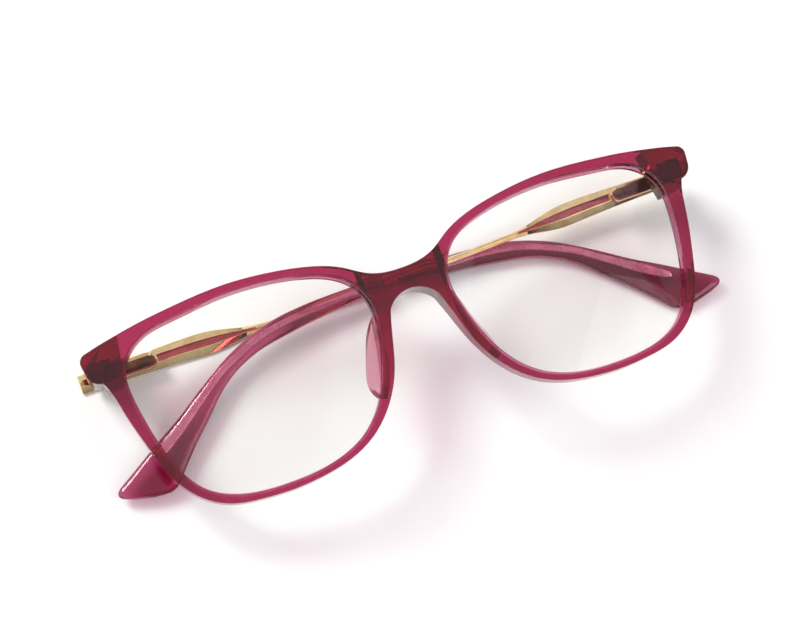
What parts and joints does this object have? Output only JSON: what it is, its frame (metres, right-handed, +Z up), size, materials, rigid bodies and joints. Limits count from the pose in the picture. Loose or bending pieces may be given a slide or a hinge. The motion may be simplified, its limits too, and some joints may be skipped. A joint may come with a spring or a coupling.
{
  "type": "eyeglasses",
  "caption": "Full-rim rectangular eyeglasses in translucent plastic with sculpted metal temples on sprung folding hinges.",
  "frame": {"origin": "under the middle of the bounding box, at the height of the table that the folded glasses lie on", "axes": "+X across the face towards the right-hand side of the front as seen from in front; +Y towards the brow; +Z up, out of the front of the lenses"},
  "size_m": [0.1396, 0.0446, 0.025],
  "materials": {
    "frame_plastic": "translucent raspberry, polished",
    "tip_plastic": "translucent raspberry, polished",
    "clear_lens": "clear, polished",
    "pad_silicone": "translucent, soft",
    "gold_metal": "polished gold plating",
    "hinge_metal": "satin",
    "spring_steel": "drawn wire"
  },
  "bodies": {
    "front": {"front_frame": "frame_plastic", "lens_left": "clear_lens", "nose_pad_left": "pad_silicone", "front_hinge_left": "hinge_metal", "hinge_screw_left": "hinge_metal", "lens_right": "clear_lens", "nose_pad_right": "pad_silicone", "front_hinge_right": "hinge_metal", "hinge_screw_right": "hinge_metal"},
    "slider_left": {"hinge_slider_left": "hinge_metal", "rod_nut_left": "hinge_metal", "flex_spring_left": "spring_steel"},
    "temple_left": {"spring_bush_left": "hinge_metal", "spring_housing_left": "gold_metal", "temple_bar_left": "gold_metal", "temple_tip_left": "tip_plastic"},
    "slider_right": {"hinge_slider_right": "hinge_metal", "rod_nut_right": "hinge_metal", "flex_spring_right": "spring_steel"},
    "temple_right": {"spring_bush_right": "hinge_metal", "spring_housing_right": "gold_metal", "temple_bar_right": "gold_metal", "temple_tip_right": "tip_plastic"}
  },
  "joints": [
    {"name": "hinge_left", "type": "hinge", "parent": "front", "child": "slider_left", "pos_m": [-0.06553, 0.01635, 0.00296], "axis": [0, 0.9961, 0.0879], "range_deg": [0, 88.1]},
    {"name": "flex_left", "type": "slide", "parent": "slider_left", "child": "temple_left", "axis": [1, 0.0007, -0.0079], "range_m": [0, 0.0016], "stiffness_N_per_m": 2500, "springref_m": -0.001, "deforming": ["flex_spring_left"]},
    {"name": "hinge_right", "type": "hinge", "parent": "front", "child": "slider_right", "pos_m": [0.06555, 0.01586, 0.00854], "axis": [0, -0.9961, -0.0879], "range_deg": [0, 91]},
    {"name": "flex_right", "type": "slide", "parent": "slider_right", "child": "temple_right", "axis": [-0.9991, 0.0037, -0.0425], "range_m": [0, 0.0016], "stiffness_N_per_m": 2500, "springref_m": -0.001, "deforming": ["flex_spring_right"]}
  ]
}
